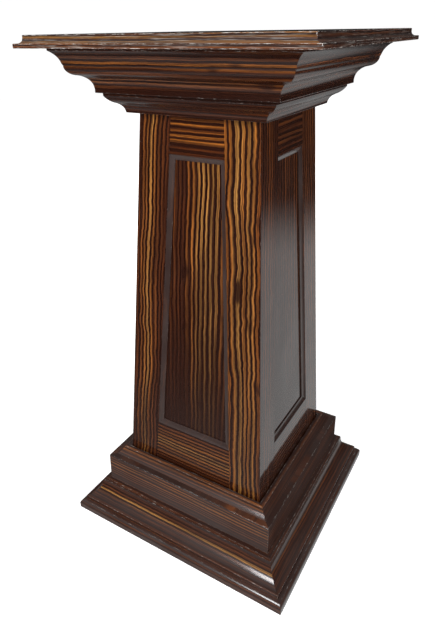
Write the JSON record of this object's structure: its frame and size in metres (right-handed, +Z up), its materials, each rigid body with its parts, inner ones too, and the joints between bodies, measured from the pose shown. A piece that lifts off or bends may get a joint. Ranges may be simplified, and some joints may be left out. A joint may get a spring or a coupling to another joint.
{
  "type": "display plinth",
  "caption": "Tapered square wooden pedestal with panelled shaft, moulded cornice under a flat display top, and stepped moulded base.",
  "frame": {"origin": "on the floor under the middle of the pedestal, in the plane of the foot's underside", "axes": "+Z up the shaft, +X out of the right face, -Y out of the front face"},
  "size_m": [0.56, 0.56, 1.067],
  "materials": {
    "top_ebony": "gloss lacquer over striped ebony veneer, worn along the arrises",
    "cornice_ebony": "gloss lacquer over striped ebony, grain along the moulding",
    "stile_ebony": "gloss lacquer over striped ebony, upright wavy grain",
    "rail_ebony": "gloss lacquer over striped ebony, level grain",
    "panel_ebony": "gloss lacquer over striped ebony, upright grain",
    "strip_ebony": "gloss lacquer over dark ebony",
    "base_ebony": "gloss lacquer over striped ebony, grain along the moulding",
    "carcass_wood": "bare planed hardwood",
    "screw_steel": "zinc plated"
  },
  "bodies": {
    "root": {"foot_right": "base_ebony", "block_right": "base_ebony", "base_moulding_right": "base_ebony", "cap_moulding_right": "base_ebony", "stile_right_face_left": "stile_ebony", "stile_right_face_right": "stile_ebony", "bottom_rail_right": "rail_ebony", "top_rail_right": "rail_ebony", "panel_right": "panel_ebony", "panel_moulding_right": "strip_ebony", "bed_moulding_right": "cornice_ebony", "cornice_right": "cornice_ebony", "top_edge_right": "top_ebony", "foot_back": "base_ebony", "block_back": "base_ebony", "base_moulding_back": "base_ebony", "cap_moulding_back": "base_ebony", "stile_back_face_left": "stile_ebony", "stile_back_face_right": "stile_ebony", "bottom_rail_back": "rail_ebony", "top_rail_back": "rail_ebony", "panel_back": "panel_ebony", "panel_moulding_back": "strip_ebony", "bed_moulding_back": "cornice_ebony", "cornice_back": "cornice_ebony", "top_edge_back": "top_ebony", "foot_left": "base_ebony", "block_left": "base_ebony", "base_moulding_left": "base_ebony", "cap_moulding_left": "base_ebony", "stile_left_face_left": "stile_ebony", "stile_left_face_right": "stile_ebony", "bottom_rail_left": "rail_ebony", "top_rail_left": "rail_ebony", "panel_left": "panel_ebony", "panel_moulding_left": "strip_ebony", "bed_moulding_left": "cornice_ebony", "cornice_left": "cornice_ebony", "top_edge_left": "top_ebony", "foot_front": "base_ebony", "block_front": "base_ebony", "base_moulding_front": "base_ebony", "cap_moulding_front": "base_ebony", "stile_front_face_left": "stile_ebony", "stile_front_face_right": "stile_ebony", "bottom_rail_front": "rail_ebony", "top_rail_front": "rail_ebony", "panel_front": "panel_ebony", "panel_moulding_front": "strip_ebony", "bed_moulding_front": "cornice_ebony", "cornice_front": "cornice_ebony", "top_edge_front": "top_ebony", "top_board": "top_ebony", "base_plate": "carcass_wood", "base_blocks": "carcass_wood", "corner_posts": "carcass_wood", "middle_brace": "carcass_wood", "capital_plate": "carcass_wood", "cornice_blocks": "carcass_wood", "screws": "screw_steel"}
  },
  "joints": []
}
